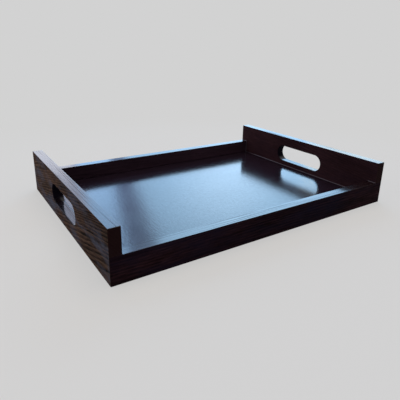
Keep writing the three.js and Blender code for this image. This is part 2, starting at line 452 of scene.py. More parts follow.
# %% [markdown]
# The base panel is a thin board, flat to the eye. A lacquered panel is never flat to a mirror,
# though: its top rises and dips by a few hundredths of a millimetre, and that is what makes the
# reflections in it look soft and slightly uneven. So its section is carried along the tray with
# a shallow swell added to the top.

# %% Base panel
BASE_SWELL = 0.025 * MM
SWELL_LENGTHS = np.array([[150, 95], [85, 210], [240, 130]]) * MM
SWELL_PHASES = (1, 2)
BASE_STEPS = (96, 72)


def base_grid():
    """Rows are stations along X, columns go round the section: along the top, then the bottom.

    The top's swell is a sum of products of sines with different lengths along X and Y."""
    x = np.linspace(BASE_LOW[0], BASE_HIGH[0], BASE_STEPS[0] + 1)[:, None]
    y_top = np.linspace(BASE_LOW[1], BASE_HIGH[1], BASE_STEPS[1] + 1)
    along, across = SWELL_PHASES
    waves = [np.sin(2 * np.pi * x / a + along) * np.sin(2 * np.pi * y_top / b + across)
             for a, b in SWELL_LENGTHS]
    top = BASE_TOP - BASE_SWELL + BASE_SWELL * sum(waves) / len(waves)
    y_bottom = y_top[::-1]
    y = np.broadcast_to(np.concatenate([y_top, y_bottom]), (len(x), 2 * len(y_top)))
    z = np.hstack([top, np.full_like(top, BASE_LOW[2])])
    return np.stack([np.broadcast_to(x, y.shape), y, z], axis=-1)


base = closed_mesh("base_panel_wood", base_grid())
wood["base_panel"] = base
print(base.name, len(base.data.polygons), "faces")

# %% [markdown]
# Lacquer gathers where two faces meet inside the tray: along the end boards, up the inner corners
# and where the shoulders sit on the rails. Each of these beads is a small hollow fillet, and its
# curved face always finds some light to mirror, which draws a thin pale line in the corner.
# A section with one hollow side, carried along the corner, gives that line from real geometry.

# %% Beads of lacquer in the inner corners
BEAD_SIZE = 0.85 * MM
BEAD_SINK = 0.15 * MM
BEAD_STEPS = 6
BEAD_STATIONS = 48


def bead_section():
    """Points as shares along the two faces: the corner itself, then a quarter circle hollow.

    The hollow's centre is one bead size out from both faces."""
    quarter = np.linspace(0, np.pi / 2, BEAD_STEPS + 1)
    hollow = BEAD_SIZE * np.stack([1 - np.sin(quarter), 1 - np.cos(quarter)], axis=1)
    rim = np.array([[BEAD_SIZE, -BEAD_SINK], [-BEAD_SINK, -BEAD_SINK], [-BEAD_SINK, BEAD_SIZE]])
    return np.vstack([rim, hollow[1:-1]])


def bead_along(name, start, end, face_a, face_b):
    """The bead's section carried in a straight line, with its two faces in the given directions."""
    section = bead_section()
    path = np.linspace(start, end, BEAD_STATIONS)[:, None]
    offset = section[:, :1] * np.array(face_a) + section[:, 1:] * np.array(face_b)
    return closed_mesh(name, path + offset)


inner_x = HALF_LENGTH - END_THICKNESS
inner_y = HALF_WIDTH - RAIL_THICKNESS
beads = []
for side, side_x in (("left", -1), ("right", 1)):
    ends = [(side_x * inner_x, y, BASE_TOP) for y in (-inner_y, inner_y)]
    beads.append(bead_along(f"{side}_base_bead", *ends, (-side_x, 0, 0), (0, 0, 1)))
for side_x, side_y in SPLINE_NODES:
    corner = SPLINE_NODES[side_x, side_y].removesuffix("_spline")
    x, y = side_x * inner_x, side_y * inner_y
    upright = [(x, y, BASE_TOP), (x, y, RAIL_HEIGHT - ARRIS_RADIUS)]
    beads.append(bead_along(f"{corner}_corner_bead", *upright, (-side_x, 0, 0), (0, -side_y, 0)))
    over = [(x, side_y * (inner_y + ARRIS_RADIUS), RAIL_HEIGHT),
            (x, side_y * (HALF_WIDTH - ARRIS_RADIUS), RAIL_HEIGHT)]
    beads.append(bead_along(f"{corner}_shoulder_bead", *over, (-side_x, 0, 0), (0, 0, 1)))
print(len(beads), "beads")

# %% [markdown]
# Flat faces should look flat and eased edges should look round. Smooth shading with a sharp-edge
# angle keeps the saw cuts crisp, and weighting the normals by face size keeps the soft arris
# from bleeding its shading into the broad faces.

# %% Shading of the pieces
SHARP_ANGLE = math.radians(40)
for piece in [*wood.values(), *beads]:
    piece.data.shade_smooth()
    piece.data.set_sharp_from_angle(angle=SHARP_ANGLE)
    weighted = piece.modifiers.new("weighted normals", "WEIGHTED_NORMAL")
    weighted.keep_sharp = True
print(len(wood) + len(beads), "pieces shaded")

# %% [markdown]
# Colours are written as they look on a screen, in sRGB hex, and one function turns them into the
# linear light that the shaders reckon with. One more function adds a node with its settings and
# links, and every material below is built with these two alone.

# %% Colours and nodes
def colour(hex_code):
    """sRGB to linear: below 0.04045 a straight line, above it a power of 2.4."""
    value = np.array([int(hex_code[i:i + 2], 16) for i in (1, 3, 5)]) / 255
    linear = np.where(value <= 0.04045, value / 12.92, ((value + 0.055) / 1.055) ** 2.4)
    return (*linear.tolist(), 1.0)


def add(tree, kind, inputs=None, **settings):
    """Adds a node, makes its settings, and fills its inputs with values or with other sockets.

    A pair given as From or To fills that range's Min and Max."""
    node = tree.nodes.new("ShaderNode" + kind)
    for name, value in settings.items():
        setattr(node, name, value)
    for name, value in (inputs or {}).items():
        if name in ("From", "To"):
            node.inputs[name + " Min"].default_value, node.inputs[name + " Max"].default_value = value
        elif isinstance(value, bpy.types.NodeSocket):
            tree.links.new(value, node.inputs[name])
        else:
            node.inputs[name].default_value = value
    return node


def new_material(name):
    """A material with an emptied node tree, and a first node that tells where a point lies."""
    material = bpy.data.materials.new(name)
    material.use_nodes = True
    material.node_tree.nodes.clear()
    return material, material.node_tree, add(material.node_tree, "TexCoord")


print("middle grey in linear light:", round(colour("#808080")[0], 3))

# %% [markdown]
# The boards are ash, an open-grained wood, stained almost black and lacquered. Each year's growth
# starts with a band of wide pores that soaks up stain and ends in dense wood that stays browner.
# A board is cut out of a trunk, so the figure on all its faces is one solid pattern of rings
# round the trunk's pith. The pith lies outside the board and runs at a small angle to it, and
# that angle draws the slanting lines and pointed arches. A picture wrapped round the board would
# break at the edges, but a solid pattern runs on from the face to the top and the end grain.
# Ash's pores are about 0.3 mm wide and its fibres finer still. Both would be too fine to show here,
# so they are drawn as coarse as they need to be.

# %% Growth rings of ash
ALONG_GRAIN = 8
DRIFT_LENGTH, DRIFT_SHIFT = 26 * MM, 13 * MM
WAVER_LENGTH, WAVER_SHIFT = 5 * MM, 2.4 * MM
LATE_SEASON = (0.35, 0.95)
FIBRE_WIDTH = 1.6 * MM
PORE_WIDTH = 0.8 * MM
PORE_SPAN = (0.55, 0.68)
PORE_SEASON = (0.8, 0.2)
FEWEST_PORES = 0.15
LINE_BREAK = 3 * MM
BREAK_SPAN = (0.36, 0.56)
STREAK_WIDTH = 9 * MM
UPTAKE_PATCH = 110 * MM


def growth_rings(tree, place, grain, ring, seed):
    """The season at each point, the year's luck, late wood, fibres, pores, stain drunk and streaks.

    The distance from Z, with a slow drift and a finer waver, is counted in rings. The whole part
    is the year, and the rest is the season. Whole tells where a ring's dark line is unbroken."""
    radial = add(tree, "VectorMath", {0: grain, 1: (1, 1, 0)}, operation="MULTIPLY")
    radius = add(tree, "VectorMath", {0: radial.outputs[0]}, operation="LENGTH")
    drift = add(tree, "TexNoise", {
        "Vector": grain, "Scale": 1 / DRIFT_LENGTH, "Detail": 1.0, "Roughness": 0.4,
    })
    waver = add(tree, "TexNoise", {"Vector": grain, "Scale": 1 / WAVER_LENGTH, "Detail": 2.0})
    drifted = add(tree, "Math", {
        0: drift.outputs["Fac"], 1: DRIFT_SHIFT, 2: radius.outputs["Value"],
    }, operation="MULTIPLY_ADD")
    wavered = add(tree, "Math", {
        0: waver.outputs["Fac"], 1: WAVER_SHIFT, 2: drifted.outputs[0],
    }, operation="MULTIPLY_ADD")
    years = add(tree, "Math", {0: wavered.outputs[0], 1: ring}, operation="DIVIDE")
    year = add(tree, "Math", {0: years.outputs[0]}, operation="FLOOR")
    season = add(tree, "Math", {0: years.outputs[0]}, operation="FRACT")
    luck = add(tree, "TexWhiteNoise", {"W": year.outputs[0]}, noise_dimensions="1D")
    late = add(tree, "MapRange", {
        "Value": season.outputs[0], "From": LATE_SEASON,
    }, interpolation_type="SMOOTHSTEP")
    fibre = add(tree, "TexNoise", {
        "Vector": grain, "Scale": 1 / FIBRE_WIDTH, "Detail": 3.0, "Roughness": 0.6,
    })
    pores = add(tree, "TexNoise", {"Vector": grain, "Scale": 1 / PORE_WIDTH, "Detail": 1.0})
    pits = add(tree, "MapRange", {"Value": pores.outputs["Fac"], "From": PORE_SPAN})
    open_wood = add(tree, "MapRange", {
        "Value": season.outputs[0], "From": PORE_SEASON, "To Min": FEWEST_PORES,
    })
    pitted = add(tree, "Math", {0: pits.outputs[0], 1: open_wood.outputs[0]}, operation="MULTIPLY")
    broken = add(tree, "TexNoise", {
        "Vector": grain, "Scale": 1 / LINE_BREAK, "Detail": 2.0, "W": seed,
    }, noise_dimensions="4D")
    whole = add(tree, "MapRange", {"Value": broken.outputs["Fac"], "From": BREAK_SPAN})
    uptake = add(tree, "TexNoise", {
        "Vector": place.outputs["Object"], "Scale": 1 / UPTAKE_PATCH, "Detail": 1.0, "W": seed,
    }, noise_dimensions="4D")
    streak = add(tree, "TexNoise", {
        "Vector": grain, "Scale": 1 / STREAK_WIDTH, "Detail": 1.0, "W": seed,
    }, noise_dimensions="4D")
    return {
        "season": season.outputs[0], "luck": luck.outputs["Value"], "late": late.outputs[0],
        "fibre": fibre.outputs["Fac"], "pitted": pitted.outputs[0], "whole": whole.outputs[0],
        "uptake": uptake.outputs["Fac"], "streak": streak.outputs["Fac"],
    }


print("fibres", FIBRE_WIDTH / MM, "mm wide, drawn out", ALONG_GRAIN, "times along the grain")

# %% [markdown]
# The stain turns that figure dark. Outside, the pores stand open, so each year starts with a
# black line, and hazy patches of painted sheen lie over it: a cool grey mixed into the colour,
# standing in for reflected light. Inside, the look is plainer and toned on its own, as painted light
# and shade. One function colours either side, and the two sides of a board share its rings.

# %% Stain and painted sheen on one side of a board
LINE_ONSET = (0.0, 0.05)
LINE_FADE = (0.5, 0.3)
WEAKEST_LINE = 0.5
FIGURED_UPTAKE = (0.58, 0.46)
PLAINEST = 0.15
NOISE_SPAN = (0.3, 0.7)
FIBRE_CONTRAST = 0.5
STREAK_CONTRAST = 0.35
UPTAKE_SPAN = (0.35, 0.65)
UPTAKE_TONE = (0.77, 1.2)
# Span of the noise over which the painted sheen fades in.
SHEEN_SPAN = (0.48, 0.66)


def side_colour_with_painted_light(tree, rings, sheen_space, tones, figure, sheen_tint, sheen_patch, most_sheen, spread):
    """Colour of a side: ground ripening to late wood, dark lines, fibres, inked pores and painted sheen.

    The tones are the line, the ground and the late wood, and figure is how far the lines and
    fibres stand out. Then come the painted sheen's colour, its patch size and the most of it, and
    spread picks where it lies."""
    line, ground, late_wood = (colour(tone) for tone in tones)
    onset = add(tree, "MapRange", {
        "Value": rings["season"], "From": LINE_ONSET,
    }, interpolation_type="SMOOTHSTEP")
    fade = add(tree, "MapRange", {
        "Value": rings["season"], "From": LINE_FADE,
    }, interpolation_type="SMOOTHSTEP")
    strength = add(tree, "MapRange", {"Value": rings["luck"], "To": (WEAKEST_LINE * figure, figure)})
    figured = add(tree, "MapRange", {
        "Value": rings["uptake"], "From": FIGURED_UPTAKE, "To Min": PLAINEST,
    })
    lined = onset.outputs[0]
    for share in (fade.outputs[0], strength.outputs[0], figured.outputs[0], rings["whole"]):
        lined = add(tree, "Math", {0: lined, 1: share}, operation="MULTIPLY").outputs[0]
    brown = add(tree, "Mix", {"Factor": rings["late"], "A": ground, "B": late_wood}, data_type="RGBA")
    ringed = add(tree, "Mix", {
        "Factor": lined, "A": brown.outputs["Result"], "B": line,
    }, data_type="RGBA")
    fine = add(tree, "MapRange", {
        "Value": rings["fibre"], "From": NOISE_SPAN,
        "To": (1 - FIBRE_CONTRAST * figure, 1 + FIBRE_CONTRAST * figure),
    })
    uneven = add(tree, "MapRange", {"Value": rings["uptake"], "From": UPTAKE_SPAN, "To": UPTAKE_TONE})
    streaked = add(tree, "MapRange", {
        "Value": rings["streak"], "From": NOISE_SPAN,
        "To": (1 - STREAK_CONTRAST * figure, 1 + STREAK_CONTRAST * figure),
    })
    tone = uneven.outputs[0]
    for share in (streaked.outputs[0], fine.outputs[0]):
        tone = add(tree, "Math", {0: tone, 1: share}, operation="MULTIPLY").outputs[0]
    toned = add(tree, "VectorMath", {0: ringed.outputs["Result"], "Scale": tone}, operation="SCALE")
    inked = add(tree, "Mix", {
        "Factor": rings["pitted"], "A": toned.outputs[0], "B": line,
    }, data_type="RGBA")
    # Painted sheen: patches of a cool grey mixed into the colour, standing in for reflected light.
    cloud = add(tree, "TexNoise", {
        "Vector": sheen_space, "Scale": 1 / sheen_patch, "Detail": 7.0, "Roughness": 0.7, "W": spread,
    }, noise_dimensions="4D")
    painted_sheen = add(tree, "MapRange", {"Value": cloud.outputs["Fac"], "From": SHEEN_SPAN, "To Max": most_sheen})
    sheened = add(tree, "Mix", {
        "Factor": painted_sheen.outputs[0], "A": inked.outputs["Result"], "B": colour(sheen_tint),
    }, data_type="RGBA")
    return sheened.outputs["Result"]


print("a dark line fills up to", LINE_FADE[0], "of a year's growth")

# %% [markdown]
# End grain drinks the stain, so it is dark and plain. The wall of the hand slot is darkened with
# painted shade, as a recess in shadow. Along the edges hands have rubbed the stain thin, and the
# brown wood shows. Where a point lies is enough to tell: its normal finds the end grain, its
# distance from the slot's middle line finds the slot's wall, and the second smallest distance to
# the board's faces is small only along its edges.

# %% End grain, painted shade in the slot and worn edges
END_GRAIN = "#2b1a1c"
# The slot wall's colour is painted shade for the recess, not a stain.
SLOT_SHADE = "#17131f"
RUBBED_EDGE = "#4a3329"
END_GRAIN_TURN = (0.2, 0.6)
SLOT_SHADE_SPAN = (SLOT_RADIUS + 0.8 * SLOT_ROUND_OVER, SLOT_RADIUS + 0.2 * SLOT_ROUND_OVER)
STAIN_AND_SHADE_COVER = 0.95
RUBBED_WIDTHS = (1.3 * MM, 0.6 * MM)
RUBBED_SHARE = 0.45
RAGGED_BY = 1.6 * MM


def end_grain_and_slot_shade(tree, place, axis, face):
    """The face's colour with the stain's dark end grain, and painted shade on the slot's wall."""
    lengthwise = add(tree, "VectorMath", {0: place.outputs["Normal"], 1: axis}, operation="DOT_PRODUCT")
    endwise = add(tree, "Math", {0: lengthwise.outputs["Value"]}, operation="ABSOLUTE")
    cut_end = add(tree, "MapRange", {
        "Value": endwise.outputs[0], "From": END_GRAIN_TURN, "To Max": STAIN_AND_SHADE_COVER,
    })
    # Painted shade in the slot: the wall goes dark, fading out over the round-over.
    aside = add(tree, "VectorMath", {
        0: place.outputs["Object"], 1: (0, 0, SLOT_MIDDLE),
    }, operation="SUBTRACT")
    either_way = add(tree, "VectorMath", {0: aside.outputs[0]}, operation="ABSOLUTE")
    beyond = add(tree, "VectorMath", {
        0: either_way.outputs[0], 1: (HALF_LENGTH, SLOT_REACH, 0),
    }, operation="SUBTRACT")
    clear = add(tree, "VectorMath", {0: beyond.outputs[0]}, operation="MAXIMUM")
    from_spine = add(tree, "VectorMath", {0: clear.outputs[0]}, operation="LENGTH")
    painted_slot_shade = add(tree, "MapRange", {
        "Value": from_spine.outputs["Value"], "From": SLOT_SHADE_SPAN, "To Max": STAIN_AND_SHADE_COVER,
    })
    drunk = add(tree, "Mix", {
        "Factor": cut_end.outputs[0], "A": face, "B": colour(END_GRAIN),
    }, data_type="RGBA")
    stained_and_shaded = add(tree, "Mix", {
        "Factor": painted_slot_shade.outputs[0], "A": drunk.outputs["Result"], "B": colour(SLOT_SHADE),
    }, data_type="RGBA")
    return stained_and_shaded.outputs["Result"]


def worn_edges(tree, place, node, fibre, stained_and_shaded):
    """The stained and shaded colour, rubbed through in a ragged line along the edges of the node's box.
    """
    low, high = (np.array(corner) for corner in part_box(node))
    offset = add(tree, "VectorMath", {
        0: place.outputs["Object"], 1: Vector((low + high) / 2),
    }, operation="SUBTRACT")
    folded = add(tree, "VectorMath", {0: offset.outputs[0]}, operation="ABSOLUTE")
    inset = add(tree, "VectorMath", {
        0: Vector((high - low) / 2), 1: folded.outputs[0],
    }, operation="SUBTRACT")
    axes = add(tree, "SeparateXYZ", {0: inset.outputs[0]})
    less = add(tree, "Math", {0: axes.outputs[0], 1: axes.outputs[1]}, operation="MINIMUM")
    more = add(tree, "Math", {0: axes.outputs[0], 1: axes.outputs[1]}, operation="MAXIMUM")
    upper = add(tree, "Math", {0: more.outputs[0], 1: axes.outputs[2]}, operation="MINIMUM")
    second = add(tree, "Math", {0: less.outputs[0], 1: upper.outputs[0]}, operation="MAXIMUM")
    ragged = add(tree, "Math", {0: fibre, 1: RAGGED_BY, 2: second.outputs[0]}, operation="MULTIPLY_ADD")
    rubbed = add(tree, "MapRange", {
        "Value": ragged.outputs[0], "From": RUBBED_WIDTHS, "To Max": RUBBED_SHARE,
    })
    worn = add(tree, "Mix", {
        "Factor": rubbed.outputs[0], "A": stained_and_shaded, "B": colour(RUBBED_EDGE),
    }, data_type="RGBA")
    return worn.outputs["Result"]


print("edges rubbed up to", RUBBED_WIDTHS[0] / MM, "mm wide")

# %% [markdown]
# The faces keep open, dull pores, but the level edges on top carry a film of lacquer, brushed on
# along the board. The film mirrors the room, and fine furrows in it stay dark. The shader's coat
# is just such a film over the wood, with its own gloss and relief.

# %% Film of lacquer on level edges
FILM_LEVEL = (0.6, 0.9)
STROKE_WIDTH = 1.1 * MM
STROKE_RELIEF = 0.1 * MM
STROKES_ALONG = 0.01
FURROW_SPAN = (0.56, 0.7)
FURROW_FILM = 0.4


def brushed_film(tree, place, axis, film):
    """Where the film lies, how much of it is left in the furrows, and its relief.

    The film lies where the normal points up. A noise drawn out along the board gives the strokes,
    and its highest parts are the furrows."""
    facing = add(tree, "SeparateXYZ", {0: place.outputs["Normal"]})
    level = add(tree, "MapRange", {"Value": facing.outputs[2], "From": FILM_LEVEL, "To Max": film})
    brushed = add(tree, "VectorMath", {
        0: place.outputs["Object"], 1: [STROKES_ALONG if along else 1.0 for along in axis],
    }, operation="MULTIPLY")
    stroke = add(tree, "TexNoise", {
        "Vector": brushed.outputs[0], "Scale": 1 / STROKE_WIDTH, "Detail": 1.0,
    })
    flow = add(tree, "Bump", {
        "Height": stroke.outputs["Fac"], "Strength": 0.25, "Distance": STROKE_RELIEF,
    })
    furrow = add(tree, "MapRange", {
        "Value": stroke.outputs["Fac"], "From": FURROW_SPAN, "To": (1.0, FURROW_FILM),
    })
    coated = add(tree, "Math", {0: level.outputs[0], 1: furrow.outputs[0]}, operation="MULTIPLY")
    return level.outputs[0], coated.outputs[0], flow.outputs[0]


print("brush strokes", STROKE_WIDTH / MM, "mm wide")

# %% [markdown]
# Now the layers go together: the wood with its rings, each side's stain with its painted light,
# shade and sheen, the dark end grain and the painted shade in the slot, the worn edges and last
# the film. Early wood stands a little lower and is duller than late wood, which gives the faces a
# fine relief. Level faces are filled, so they have none.

# %% Stained ash, put together
FILMED_WOOD = "#1c1114"
# How much the painted sheen's patches are drawn out along the board.
SHEEN_ALONG = 0.3
INNER_TURN = (-0.2, -0.6)
FACE_RELIEF = 0.12 * MM
RELIEF_STRENGTH = 0.3
PIT_DEPTH = 0.8
WOOD_GLOSS = (0.75, 0.62)


def stained_ash(node, outward, pith, heading, ring, outer, inner, film, seed):
    """Ash rings round a pith line through a point, with a heading along the board.

    The Mapping node turns the pith line into Z and shrinks lengths along it, so that every noise
    is drawn out along the grain. Outer and inner are the looks of the two sides, each toned as
    painted light and shade for that side, and film is the most of the lacquer on level edges."""
    material, tree, place = new_material(f"stained_ash_{node}")
    grain = add(tree, "Mapping", {
        "Vector": place.outputs["Object"],
        "Location": pith,
        "Rotation": Vector(heading).to_track_quat("Z", "Y").to_euler(),
        "Scale": (1, 1, ALONG_GRAIN),
    }, vector_type="TEXTURE")
    rings = growth_rings(tree, place, grain.outputs[0], ring, seed)
    axis = [float(abs(h) > 0.7) for h in heading]
    # Coordinates for the painted sheen, drawn out along the board.
    sheen_space = add(tree, "VectorMath", {
        0: place.outputs["Object"], 1: [SHEEN_ALONG if along else 1.0 for along in axis],
    }, operation="MULTIPLY")
    out_and_in = [side_colour_with_painted_light(tree, rings, sheen_space.outputs[0], **side) for side in (outer, inner)]
    # The normal picks the outer or inner look: one wood painted with each side's light and shade.
    facing_out = add(tree, "VectorMath", {
        0: place.outputs["Normal"], 1: outward,
    }, operation="DOT_PRODUCT")
    inside = add(tree, "MapRange", {"Value": facing_out.outputs["Value"], "From": INNER_TURN})
    face = add(tree, "Mix", {
        "Factor": inside.outputs[0], "A": out_and_in[0], "B": out_and_in[1],
    }, data_type="RGBA")
    stained_and_shaded = end_grain_and_slot_shade(tree, place, axis, face.outputs["Result"])
    worn = worn_edges(tree, place, node, rings["fibre"], stained_and_shaded)
    level, coated, flow = brushed_film(tree, place, axis, film)
    facing = add(tree, "SeparateXYZ", {0: place.outputs["Normal"]})
    open_pores = add(tree, "MapRange", {"Value": facing.outputs[2], "To": (RELIEF_STRENGTH, 0.0)})
    relief = add(tree, "Math", {
        0: rings["pitted"], 1: -PIT_DEPTH, 2: rings["late"],
    }, operation="MULTIPLY_ADD")
    bump = add(tree, "Bump", {
        "Height": relief.outputs[0], "Strength": open_pores.outputs[0], "Distance": FACE_RELIEF,
    })
    dull = add(tree, "MapRange", {"Value": rings["late"], "To": WOOD_GLOSS})
    filmed = add(tree, "Mix", {"Factor": level, "A": worn, "B": colour(FILMED_WOOD)}, data_type="RGBA")
    shader = add(tree, "BsdfPrincipled", {
        "Base Color": filmed.outputs["Result"],
        "Roughness": dull.outputs[0],
        "Specular IOR Level": 0.02,
        "Normal": bump.outputs[0],
        "Coat Weight": coated,
        "Coat Roughness": 0.13,
        "Coat IOR": 1.66,
        "Coat Normal": flow,
    })
    add(tree, "OutputMaterial", {"Surface": shader.outputs[0]})
    return material


print("face relief", FACE_RELIEF / MM, "mm")

# %% [markdown]
# Each board comes from its own place in the trunk, so each has its own pith line and ring width. The
# outer and inner looks are shared by the two ends and by the two rails. They are painted light and
# shade: one wood toned twice, each side's tones and figure standing in for how that side is lit.
# On the outside the figure and the painted sheen stand out, inside both are faint.

# %% Boards of stained ash, each from its own place in the trunk
# Each side's tones and figure are painted light and shade, and its sheen colour a painted reflection.
LIT_AND_SHADED_SIDES = {
    "end_outer": {
        "tones": ("#020101", "#45332c", "#564237"), "figure": 1.25,
        "sheen_tint": "#595e72", "sheen_patch": 18 * MM, "most_sheen": 0.8, "spread": 35.5,
    },
    "end_inner": {
        "tones": ("#2a1c23", "#342229", "#3a262b"), "figure": 0.5,
        "sheen_tint": "#291e2b", "sheen_patch": 40 * MM, "most_sheen": 0.6, "spread": 30.5,
    },
    "rail_outer": {
        "tones": ("#020102", "#25161b", "#2f1b21"), "figure": 1.3,
        "sheen_tint": "#211c2f", "sheen_patch": 45 * MM, "most_sheen": 0.8, "spread": 14.8,
    },
    "rail_inner": {
        "tones": ("#33242f", "#3f2d39", "#43313d"), "figure": 0.5,
        "sheen_tint": "#362b3c", "sheen_patch": 40 * MM, "most_sheen": 0.3, "spread": 14.8,
    },
}
BOARDS = {
    "left_end_board": {
        "outward": (-1, 0, 0), "pith": (-0.245, 0.0, -0.045), "heading": (0.0, -0.97, 0.24),
        "ring": 3.0 * MM, "film": 0.74, "seed": 21.8,
    },
    "right_end_board": {
        "outward": (1, 0, 0), "pith": (0.24, 0.0, 0.13), "heading": (0.03, 0.99, 0.1),
        "ring": 3.0 * MM, "film": 0.84, "seed": 30.5,
    },
    "front_rail": {
        "outward": (0, -1, 0), "pith": (0.0, -0.185, -0.03), "heading": (0.999, 0.01, -0.01),
        "ring": 2.8 * MM, "film": 1.0, "seed": 14.8,
    },
    "back_rail": {
        "outward": (0, 1, 0), "pith": (0.0, 0.2, 0.075), "heading": (0.998, 0.03, -0.05),
        "ring": 3.0 * MM, "film": 0.88, "seed": 14.8,
    },
}
for node, character in BOARDS.items():
    kind = "end" if node in ("left_end_board", "right_end_board") else "rail"
    sides = {side: LIT_AND_SHADED_SIDES[f"{kind}_{side}"] for side in ("outer", "inner")}
    wood[node].data.materials.append(stained_ash(node, **character, **sides))
print("boards stained:", sorted(BOARDS))

# %% [markdown]
# The base panel is veneered, with the grain along the tray, stained like the boards and polished.
# Lacquer on veneer levels out almost like glass, but not quite: the fibres print through as fine
# lines along the grain, the film lies in shallow ripples, and over the pores it is thicker in tiny
# specks. So the mirror is bright but a little grainy. The coat of the shader gives the specks, and
# they are drawn coarser than real pores, which would be too fine to show.

# %% Polished veneer of the base panel
VENEER_TINTS = [(0.35, "#1b141e"), (0.7, "#2c2230")]
VENEER_STREAK = 2.5 * MM
VENEER_ALONG = 0.03
VENEER_CLOUD = 60 * MM
VENEER_GLOSS = (0.13, 0.165)
RIPPLE_WIDTH = 2.4 * MM
RIPPLE_ACROSS = 0.4
RIPPLE_RELIEF = 0.06 * MM
STREAK_RELIEF = 0.15
SPECK_WIDTH = 1.7 * MM
SPECK_SPAN = (0.35, 0.65)
SPECK_COAT = 0.13


def polished_veneer():
    """Streaks along X in colour and relief, a cloudy gloss, ripples, and specks of thicker film.

    The ripples and the specks are noises drawn out across the tray."""
    material, tree, place = new_material("polished_stained_veneer")
    drawn = add(tree, "Mapping", {"Vector": place.outputs["Object"], "Scale": (VENEER_ALONG, 1, 1)})
    streak = add(tree, "TexNoise", {
        "Vector": drawn.outputs[0], "Scale": 1 / VENEER_STREAK, "Detail": 4.0, "Roughness": 0.65,
    })
    cloud = add(tree, "TexNoise", {
        "Vector": place.outputs["Object"], "Scale": 1 / VENEER_CLOUD, "Detail": 2.0,
    })
    tint = add(tree, "ValToRGB", {"Fac": streak.outputs["Fac"]})
    for element, (position, tone) in zip(tint.color_ramp.elements, VENEER_TINTS):
        element.position = position
        element.color = colour(tone)
    gloss = add(tree, "MapRange", {
        "Value": cloud.outputs["Fac"], "From": NOISE_SPAN, "To": VENEER_GLOSS,
    })
    laid = add(tree, "Mapping", {"Vector": place.outputs["Object"], "Scale": (1, RIPPLE_ACROSS, 1)})
    ripple = add(tree, "TexNoise", {
        "Vector": laid.outputs[0], "Scale": 1 / RIPPLE_WIDTH, "Detail": 2.0, "Roughness": 0.6,
    })
    relief = add(tree, "Math", {
        0: streak.outputs["Fac"], 1: STREAK_RELIEF, 2: ripple.outputs["Fac"],
    }, operation="MULTIPLY_ADD")
    bump = add(tree, "Bump", {"Height": relief.outputs[0], "Strength": 1.0, "Distance": RIPPLE_RELIEF})
    pores = add(tree, "TexNoise", {
        "Vector": laid.outputs[0], "Scale": 1 / SPECK_WIDTH, "Detail": 2.0, "Roughness": 0.6,
    })
    specks = add(tree, "MapRange", {
        "Value": pores.outputs["Fac"], "From": SPECK_SPAN, "To Max": SPECK_COAT,
    })
    shader = add(tree, "BsdfPrincipled", {
        "Base Color": tint.outputs["Color"],
        "Roughness": gloss.outputs[0],
        "IOR": 1.47,
        "Normal": bump.outputs[0],
        "Coat Weight": specks.outputs[0],
        "Coat Roughness": 0.15,
        "Coat Normal": bump.outputs[0],
    })
    add(tree, "OutputMaterial", {"Surface": shader.outputs[0]})
    return material


base.data.materials.append(polished_veneer())
print("base panel polished, specks", SPECK_WIDTH / MM, "mm wide")

# %% [markdown]
# The beads are the same dark lacquer, thick enough to hide the wood and glossy as it dried. Its
# gloss changes slowly along a bead, so the pale line in the corner comes and goes.

# %% Pooled lacquer of the beads
LACQUER = "#3a2e3c"
LACQUER_CLOUD = 9 * MM
LACQUER_GLOSS = (0.15, 0.5)


def pooled_lacquer():
    """Dark lacquer with slow changes in gloss along the bead."""
    material, tree, place = new_material("pooled_dark_lacquer")
    cloud = add(tree, "TexNoise", {"Vector": place.outputs["Object"], "Scale": 1 / LACQUER_CLOUD})
    gloss = add(tree, "MapRange", {"Value": cloud.outputs["Fac"], "To": LACQUER_GLOSS})
    shader = add(tree, "BsdfPrincipled", {
        "Base Color": colour(LACQUER), "Roughness": gloss.outputs[0], "IOR": 1.5,
    })
    add(tree, "OutputMaterial", {"Surface": shader.outputs[0]})
    return material


lacquer = pooled_lacquer()
for bead in beads:
    bead.data.materials.append(lacquer)
print(len(beads), "beads lacquered")

# %% [markdown]
# The splines are strips of birch ply, sanded and glued into the mitres. They are plain strips that
# show from no side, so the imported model's own pieces are kept for them and only get their
# material: pale faces and darker cross bands, dull as bare wood is.

# %% Sanded birch ply of the splines
BIRCH_FACE = "#c9a878"
BIRCH_CORE = "#a5834f"
PLY_THICKNESS = 0.75 * MM
PLY_FUZZ = 0.8 * MM
PLY_RELIEF = 0.1 * MM
WAVE_LENGTH = math.pi / 10


def birch_ply():
    """Thin plies stacked along Z, light face veneers between darker cross bands.

    A wave texture of scale 1 repeats after its own wave length, and two plies are one wave."""
    material, tree, place = new_material("sanded_birch_ply")
    plies = add(tree, "TexWave", {
        "Vector": place.outputs["Object"], "Scale": WAVE_LENGTH / (2 * PLY_THICKNESS), "Distortion": 0.4,
    }, wave_type="BANDS", bands_direction="Z")
    tint = add(tree, "Mix", {
        "Factor": plies.outputs["Fac"], "A": colour(BIRCH_CORE), "B": colour(BIRCH_FACE),
    }, data_type="RGBA")
    fuzz = add(tree, "TexNoise", {"Vector": place.outputs["Object"], "Scale": 1 / PLY_FUZZ})
    bump = add(tree, "Bump", {"Height": fuzz.outputs["Fac"], "Strength": 0.3, "Distance": PLY_RELIEF})
    shader = add(tree, "BsdfPrincipled", {
        "Base Color": tint.outputs["Result"], "Roughness": 0.8, "Normal": bump.outputs[0],
    })
    add(tree, "OutputMaterial", {"Surface": shader.outputs[0]})
    return material


ply = birch_ply()
for node in SPLINE_NODES.values():
    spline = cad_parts[node]
    spline.data.materials.clear()
    spline.data.materials.append(ply)
print(len(SPLINE_NODES), "splines of ply")

# %% [markdown]
# Each dressed piece is tied to the frame: it rides on the tray's one body, and each board hides
# the solid it was drawn over.

# %% Ride on the frame
for node, piece in wood.items():
    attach(piece, "root")
    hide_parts(node)
for bead in beads:
    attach(bead, "root")

